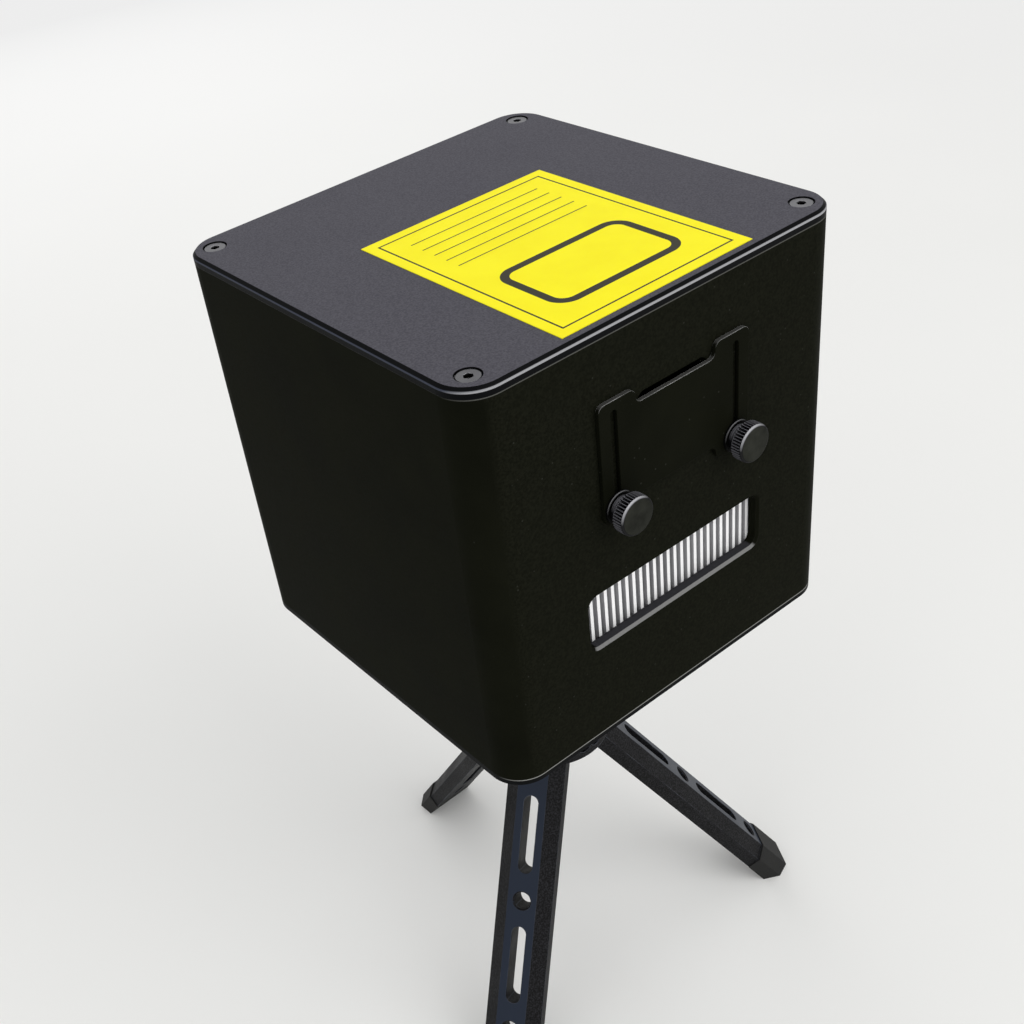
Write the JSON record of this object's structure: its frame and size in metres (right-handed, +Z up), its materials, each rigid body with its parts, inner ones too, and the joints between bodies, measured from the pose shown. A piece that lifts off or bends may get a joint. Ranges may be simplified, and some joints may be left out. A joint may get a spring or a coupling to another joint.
{
  "type": "laser show projector",
  "caption": "Laser show projector: black cube case with a sliding aperture mask, thumbscrews and a front cooling vent, on a ball head and a folding table tripod.",
  "frame": {"origin": "middle of the footprint's box, on the ground under the feet", "axes": "+Z up, the case's front with its vent faces -Y, +X is to the right seen from the front"},
  "size_m": [0.1668, 0.1698, 0.3065],
  "materials": {
    "case_black": "black semi-gloss coat with a fine grain",
    "cover_grey_black": "black satin anodised",
    "screw_steel": "bright zinc",
    "screw_black": "black oxide, rubbed bright on the edges",
    "label_yellow": "satin printed film",
    "brass": "turned brass",
    "mask_black": "black satin coat",
    "knob_black": "black anodised, straight knurl",
    "clear_glass": "clear coated glass",
    "sink_aluminium": "bare extruded aluminium",
    "machined_aluminium": "bare milled aluminium",
    "mirror_coat": "front-surface mirror",
    "motor_steel": "turned steel",
    "board_green": "solder mask",
    "black_plastic": "moulded",
    "socket_nickel": "nickel plated",
    "wire_steel": "plated wire",
    "rubber_black": "moulded rubber",
    "tripod_black": "black sandblasted and anodised",
    "ball_steel": "polished"
  },
  "bodies": {
    "tripod": {"tripod_hub": "tripod_black", "pan_bolt": "screw_steel", "leg_pins": "screw_steel"},
    "left_leg": {"leg_left": "tripod_black", "foot_left": "rubber_black"},
    "right_leg": {"leg_right": "tripod_black", "foot_right": "rubber_black"},
    "rear_leg": {"leg_rear": "tripod_black", "foot_rear": "rubber_black"},
    "head": {"ball_housing": "tripod_black"},
    "ball_lock": {"lock_knob": "black_plastic"},
    "ball": {"ball_stem": "ball_steel", "head_plate": "tripod_black", "plate_pad": "rubber_black", "camera_stud": "screw_steel"},
    "mask": {"mask_plate": "mask_black"},
    "left_thumbscrew": {"thumbscrew_left": "knob_black"},
    "right_thumbscrew": {"thumbscrew_right": "knob_black"},
    "fan": {"fan_rotor": "black_plastic"},
    "first_scan_mirror": {"scan_mirror_x": "mirror_coat"},
    "second_scan_mirror": {"scan_mirror_y": "mirror_coat"},
    "rocker": {"switch_rocker": "black_plastic"},
    "key_cylinder": {"key_barrel": "socket_nickel"},
    "case": {"case_sleeve": "case_black", "top_cover": "cover_grey_black", "bottom_cover": "cover_grey_black", "top_cover_screws": "screw_black", "bottom_cover_screws": "screw_black", "top_label": "label_yellow", "tripod_bush": "brass", "aperture_glass": "clear_glass", "glass_frame": "mask_black", "heat_sink": "sink_aluminium", "optical_bench": "machined_aluminium", "bench_posts": "machined_aluminium", "bench_screws": "screw_steel", "laser_red": "machined_aluminium", "laser_green": "machined_aluminium", "laser_blue": "machined_aluminium", "dichroic_red": "clear_glass", "dichroic_green": "clear_glass", "turning_mirror": "mirror_coat", "mirror_posts": "machined_aluminium", "scanner_clamp": "machined_aluminium", "scanner_motor_x": "motor_steel", "scanner_motor_y": "motor_steel", "driver_board": "board_green", "control_board": "board_green", "board_standoffs": "brass", "board_screws": "screw_steel", "fan_frame": "black_plastic", "fan_guard": "wire_steel", "fan_screws": "screw_steel", "scan_socket": "socket_nickel", "scan_jack_screws": "socket_nickel", "data_socket_in": "black_plastic", "data_socket_out": "black_plastic", "power_jack": "black_plastic", "switch_body": "black_plastic", "key_switch_body": "socket_nickel"}
  },
  "joints": [
    {"name": "left_leg_fold", "type": "hinge", "parent": "tripod", "child": "left_leg", "pos_m": [-0.01204, -0.01482, 0.10956], "axis": [0.5195, -0.8545, 0], "range_deg": [0, 33.7]},
    {"name": "right_leg_fold", "type": "hinge", "parent": "tripod", "child": "right_leg", "pos_m": [0.01047, -0.01431, 0.10956], "axis": [0.4802, 0.8771, 0], "range_deg": [0, 33.7]},
    {"name": "rear_leg_fold", "type": "hinge", "parent": "tripod", "child": "rear_leg", "pos_m": [-0.00123, 0.00493, 0.10956], "axis": [-0.9997, -0.0227, 0], "range_deg": [0, 33.7]},
    {"name": "head_pan", "type": "hinge", "parent": "tripod", "child": "head", "pos_m": [-0.00093, -0.00807, 0.12496], "axis": [0, 0, 1], "continuous": true},
    {"name": "ball_tilt", "type": "hinge", "parent": "head", "child": "ball", "pos_m": [-0.00093, -0.00807, 0.14196], "axis": [1, 0, 0], "range_deg": [-30, 30]},
    {"name": "ball_lock_turn", "type": "hinge", "parent": "head", "child": "ball_lock", "pos_m": [0.02607, -0.00807, 0.14196], "axis": [1, 0, 0], "range_deg": [0, 180]},
    {"name": "case_turn", "type": "hinge", "parent": "ball", "child": "case", "pos_m": [-0.00093, -0.00807, 0.17026], "axis": [0, 0, 1], "continuous": true},
    {"name": "mask_slide", "type": "slide", "parent": "case", "child": "mask", "axis": [0, 0, -1], "range_m": [0, 0.0289]},
    {"name": "left_thumbscrew_turn", "type": "hinge", "parent": "case", "child": "left_thumbscrew", "pos_m": [-0.02393, -0.08007, 0.25209], "axis": [0, -1, 0], "continuous": true},
    {"name": "right_thumbscrew_turn", "type": "hinge", "parent": "case", "child": "right_thumbscrew", "pos_m": [0.02207, -0.08007, 0.25209], "axis": [0, -1, 0], "continuous": true},
    {"name": "fan_spin", "type": "hinge", "parent": "case", "child": "fan", "pos_m": [-0.00093, 0.04993, 0.21242], "axis": [0, 1, 0], "continuous": true},
    {"name": "first_mirror_scan", "type": "hinge", "parent": "case", "child": "first_scan_mirror", "pos_m": [-0.00093, -0.05057, 0.25754], "axis": [0, 1, 0], "range_deg": [-12, 12]},
    {"name": "second_mirror_scan", "type": "hinge", "parent": "case", "child": "second_scan_mirror", "pos_m": [-0.00093, -0.05057, 0.26954], "axis": [1, 0, 0], "range_deg": [-12, 12]},
    {"name": "power_rocker", "type": "hinge", "parent": "case", "child": "rocker", "pos_m": [0.02507, 0.06093, 0.26274], "axis": [1, 0, 0], "range_deg": [-18, 0]},
    {"name": "key_turn", "type": "hinge", "parent": "case", "child": "key_cylinder", "pos_m": [-0.03893, 0.05993, 0.26274], "axis": [0, 1, 0], "range_deg": [0, 90]}
  ]
}
